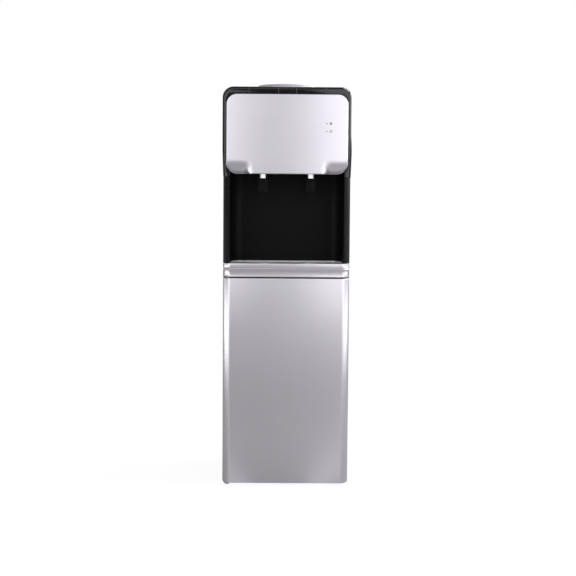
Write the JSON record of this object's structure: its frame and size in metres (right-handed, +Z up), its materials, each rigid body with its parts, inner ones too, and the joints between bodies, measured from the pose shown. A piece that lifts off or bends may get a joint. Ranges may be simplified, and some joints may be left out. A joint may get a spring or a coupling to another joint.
{
  "type": "floor water dispenser",
  "caption": "Tall floor-standing hot and cold water dispenser with a bottle seat on top, taps in a recess over a drip tray, and a storage cabinet with a hinged door.",
  "frame": {"origin": "on the floor under the middle of the unit's footprint box", "axes": "+Z up, front with the taps and the door towards -Y, +X to the right seen from the front"},
  "size_m": [0.314, 0.32, 0.9896],
  "materials": {
    "door_paint": "silver grey satin paint with a fine metallic fleck",
    "silver_moulding": "silver painted ABS, semi gloss",
    "gloss_black": "high gloss black ABS",
    "matt_black": "fine grained black plastic",
    "dark_steel": "dark powder-coated sheet steel",
    "zinc_steel": "zinc-coated sheet steel",
    "stainless_steel": "satin stainless steel",
    "heater_steel": "dull steel band over mica",
    "copper_tube": "dull drawn copper",
    "black_enamel": "semi gloss black enamel",
    "liner_plastic": "satin light grey moulded plastic",
    "seat_grey": "grey moulded plastic",
    "tap_white": "white food-grade plastic",
    "lens_plastic": "clear smoked lens",
    "circuit_board": "green solder resist",
    "insulation_foam": "white expanded bead foam",
    "silicone_tube": "translucent white silicone",
    "foot_rubber": "black moulded rubber",
    "magnet_ferrite": "dark grey ferrite"
  },
  "bodies": {
    "cabinet": {"foot_front_left": "foot_rubber", "foot_front_right": "foot_rubber", "foot_rear_left": "foot_rubber", "foot_rear_right": "foot_rubber", "base_pan": "zinc_steel", "side_panel_left": "dark_steel", "side_panel_right": "dark_steel", "rear_panel": "dark_steel", "middle_deck": "zinc_steel", "upper_deck": "zinc_steel", "cabinet_liner": "liner_plastic", "catch_magnet": "magnet_ferrite", "hinge_bracket_lower": "zinc_steel", "hinge_pin_upper": "zinc_steel", "tray_surround": "silver_moulding", "recess_panel": "gloss_black", "tap_plate": "gloss_black", "head_frame": "gloss_black", "cool_lens": "lens_plastic", "heat_lens": "lens_plastic", "fascia": "silver_moulding", "indicator_board": "circuit_board", "tap_body_left": "tap_white", "tap_body_right": "tap_white", "spout_left": "tap_white", "spout_right": "tap_white", "paddle_pin_left": "stainless_steel", "paddle_pin_right": "stainless_steel", "paddle_spring_left": "zinc_steel", "paddle_spring_right": "zinc_steel", "top_cover": "gloss_black", "foam_shell": "insulation_foam", "cold_tank": "stainless_steel", "evaporator_coil": "copper_tube", "cold_line": "silicone_tube", "hot_tank": "stainless_steel", "heater_band": "heater_steel", "hot_line": "silicone_tube", "fill_line": "silicone_tube", "drain_line": "silicone_tube", "compressor": "black_enamel", "condenser_tube": "black_enamel", "condenser_wires": "black_enamel", "discharge_line": "copper_tube", "suction_line": "copper_tube", "switch_plate": "matt_black", "power_inlet": "matt_black"},
    "door": {"door_skin": "door_paint", "door_inner_panel": "liner_plastic", "door_striker": "zinc_steel"},
    "left_paddle": {"paddle_left": "matt_black"},
    "right_paddle": {"paddle_right": "matt_black"},
    "tray": {"drip_tray": "matt_black"},
    "grille": {"drip_grille": "matt_black"},
    "seat": {"bottle_seat": "seat_grey", "feed_probe": "tap_white"},
    "heat_switch": {"heat_rocker": "matt_black"},
    "cool_switch": {"cool_rocker": "matt_black"},
    "cap": {"drain_cap": "matt_black"}
  },
  "joints": [
    {"name": "door_hinge", "type": "hinge", "parent": "cabinet", "child": "door", "pos_m": [-0.143, -0.143, 0.257], "axis": [0, 0, -1], "range_deg": [0, 110]},
    {"name": "left_paddle_hinge", "type": "hinge", "parent": "cabinet", "child": "left_paddle", "pos_m": [-0.0588, -0.093, 0.7915], "axis": [1, 0, 0], "range_deg": [0, 12], "stiffness_Nm_per_rad": 0.3, "springref_deg": -8.59},
    {"name": "right_paddle_hinge", "type": "hinge", "parent": "cabinet", "child": "right_paddle", "pos_m": [0.0588, -0.093, 0.7915], "axis": [1, 0, 0], "range_deg": [0, 12], "stiffness_Nm_per_rad": 0.3, "springref_deg": -8.59},
    {"name": "drip_tray_lift", "type": "slide", "parent": "cabinet", "child": "tray", "axis": [0, 0, 1], "range_m": [0, 0.06]},
    {"name": "drip_grille_lift", "type": "slide", "parent": "tray", "child": "grille", "axis": [0, 0, 1], "range_m": [0, 0.03]},
    {"name": "bottle_seat_lift", "type": "slide", "parent": "cabinet", "child": "seat", "axis": [0, 0, 1], "range_m": [0, 0.08]},
    {"name": "heat_switch_tilt", "type": "hinge", "parent": "cabinet", "child": "heat_switch", "pos_m": [0.071, 0.1398, 0.85], "axis": [1, 0, 0], "range_deg": [0, 16]},
    {"name": "cool_switch_tilt", "type": "hinge", "parent": "cabinet", "child": "cool_switch", "pos_m": [0.099, 0.1398, 0.85], "axis": [1, 0, 0], "range_deg": [0, 16]},
    {"name": "drain_cap_pull", "type": "slide", "parent": "cabinet", "child": "cap", "axis": [0, 1, 0], "range_m": [0, 0.02]}
  ]
}
